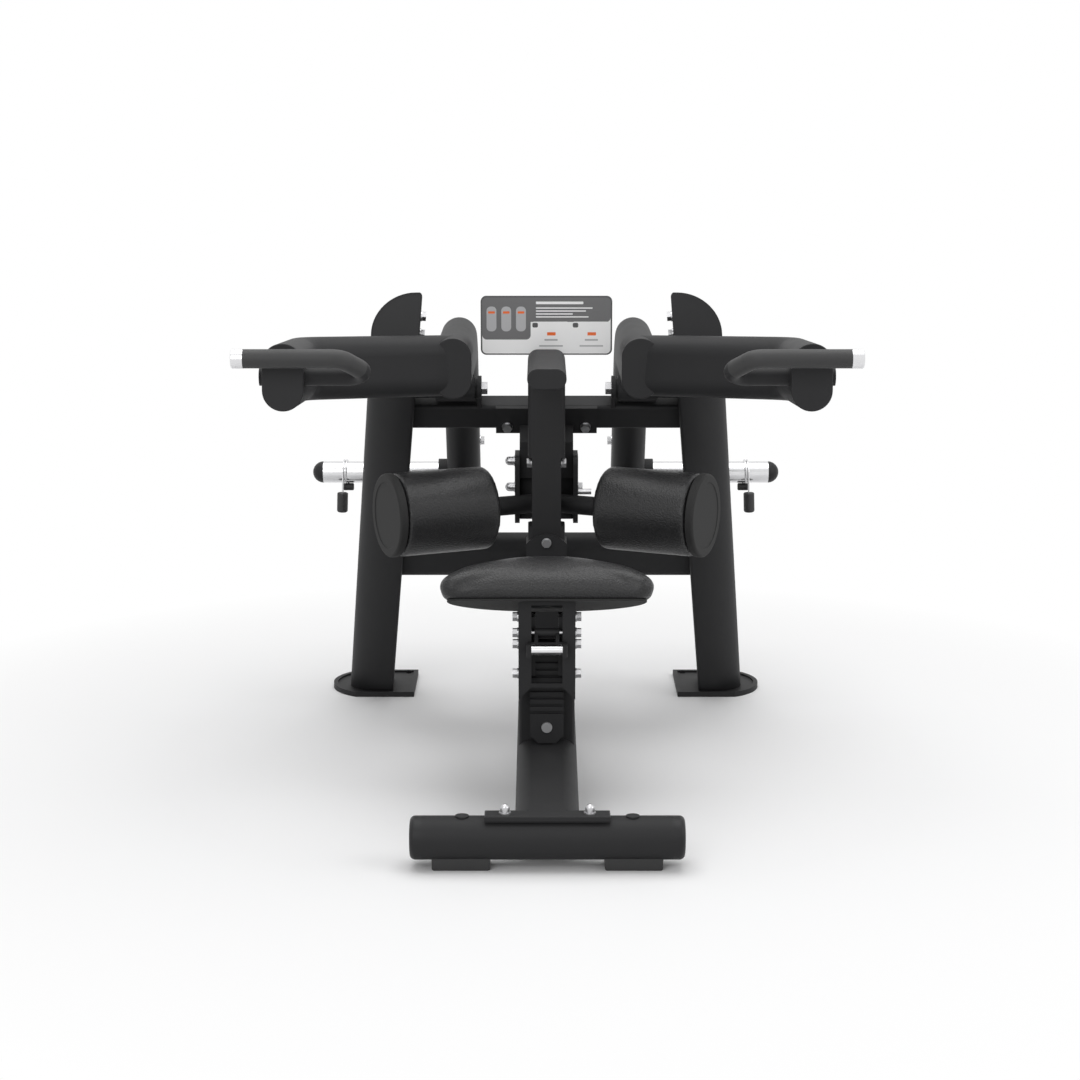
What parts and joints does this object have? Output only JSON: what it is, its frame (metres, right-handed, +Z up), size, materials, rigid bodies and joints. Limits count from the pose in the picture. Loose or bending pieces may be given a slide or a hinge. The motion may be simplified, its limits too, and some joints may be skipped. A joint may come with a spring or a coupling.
{
  "type": "seated dip machine",
  "caption": "Plate-loaded seated dip machine: splayed rear legs, two pivoting lever arms with handles and weight horns, thigh rollers and a height-adjustable seat",
  "frame": {"origin": "middle of the machine's width and length at floor level", "axes": "X across to the user's left-hand view right, Y back from the seat towards the weight horns, Z up; the user's front is at -Y"},
  "size_m": [1.138, 1.4176, 0.9741],
  "materials": {
    "frame_paint": "fine-textured matte black powder coat",
    "end_cap_plastic": "black moulded plastic, satin",
    "pad_rubber": "black rubber, dull",
    "upholstery": "black grained synthetic leather over foam",
    "bright_steel": "zinc-plated bright steel",
    "horn_chrome": "satin chrome plate",
    "placard_print": "printed sheet with a dark and a pale field, no text"
  },
  "bodies": {
    "frame": {"base_beam": "frame_paint", "crossbar_plate": "frame_paint", "foot_dome_nuts": "bright_steel", "foot_plate_left": "frame_paint", "foot_plate_right": "frame_paint", "frame_end_caps": "end_cap_plastic", "frame_hex_bolts": "bright_steel", "front_foot_caps": "end_cap_plastic", "front_foot_pads": "pad_rubber", "front_foot_plate": "frame_paint", "front_foot_tube": "frame_paint", "leg_left": "frame_paint", "leg_right": "frame_paint", "lower_crossbar": "frame_paint", "mast_column": "frame_paint", "mast_head": "frame_paint", "mast_socket": "frame_paint", "pivot_axles": "bright_steel", "pivot_brackets": "frame_paint", "placard": "placard_print", "placard_bracket": "frame_paint", "roller_axle": "frame_paint", "roller_bracket": "frame_paint", "roller_bracket_bolts": "bright_steel", "seat_post": "frame_paint", "seat_rack": "frame_paint", "stop_arms": "frame_paint", "stop_bumpers": "pad_rubber", "upper_crossbar": "frame_paint"},
    "seat": {"seat_pad": "upholstery", "seat_base": "frame_paint", "seat_carriage": "frame_paint", "seat_carriage_bolts": "bright_steel", "seat_guide_blocks": "end_cap_plastic"},
    "seat_release": {"release_lever": "frame_paint", "release_bar": "horn_chrome"},
    "lever_left": {"lever_tube_left": "frame_paint", "cross_arm_left": "frame_paint", "lever_caps_left": "end_cap_plastic", "pivot_housing_left": "frame_paint", "handle_tube_left": "frame_paint", "grip_left": "pad_rubber", "grip_ring_left": "horn_chrome", "load_horn_left": "horn_chrome"},
    "clip_left": {"clip_spring_left": "horn_chrome", "clip_handle_left": "pad_rubber"},
    "roller_left": {"roller_pad_left": "upholstery", "roller_hub_left": "end_cap_plastic"},
    "lever_right": {"lever_tube_right": "frame_paint", "cross_arm_right": "frame_paint", "lever_caps_right": "end_cap_plastic", "pivot_housing_right": "frame_paint", "handle_tube_right": "frame_paint", "grip_right": "pad_rubber", "grip_ring_right": "horn_chrome", "load_horn_right": "horn_chrome"},
    "clip_right": {"clip_spring_right": "horn_chrome", "clip_handle_right": "pad_rubber"},
    "roller_right": {"roller_pad_right": "upholstery", "roller_hub_right": "end_cap_plastic"}
  },
  "joints": [
    {"name": "lever_left_pivot", "type": "hinge", "parent": "frame", "child": "lever_left", "pos_m": [-0.19, 0.11679, 0.76902], "axis": [1, 0, 0], "range_deg": [0, 25]},
    {"name": "clip_left_slide", "type": "slide", "parent": "lever_left", "child": "clip_left", "axis": [1, 0, 0], "range_m": [-0.03, 0.19]},
    {"name": "roller_left_turn", "type": "hinge", "parent": "frame", "child": "roller_left", "pos_m": [0, 0.09716, 0.53], "axis": [-0.9135, -0.4067, 0], "continuous": true},
    {"name": "lever_right_pivot", "type": "hinge", "parent": "frame", "child": "lever_right", "pos_m": [0.19, 0.11679, 0.76902], "axis": [1, 0, 0], "range_deg": [0, 25]},
    {"name": "clip_right_slide", "type": "slide", "parent": "lever_right", "child": "clip_right", "axis": [-1, 0, 0], "range_m": [-0.03, 0.19]},
    {"name": "roller_right_turn", "type": "hinge", "parent": "frame", "child": "roller_right", "pos_m": [0, 0.09716, 0.53], "axis": [0.9135, -0.4067, 0], "continuous": true},
    {"name": "seat_height", "type": "slide", "parent": "frame", "child": "seat", "axis": [0, 0, 1], "range_m": [-0.058, 0]},
    {"name": "seat_release_pull", "type": "hinge", "parent": "seat", "child": "seat_release", "pos_m": [0, -0.33084, 0.355], "axis": [-1, 0, 0], "range_deg": [0, 18], "stiffness_Nm_per_rad": 1, "springref_deg": -17.19}
  ]
}
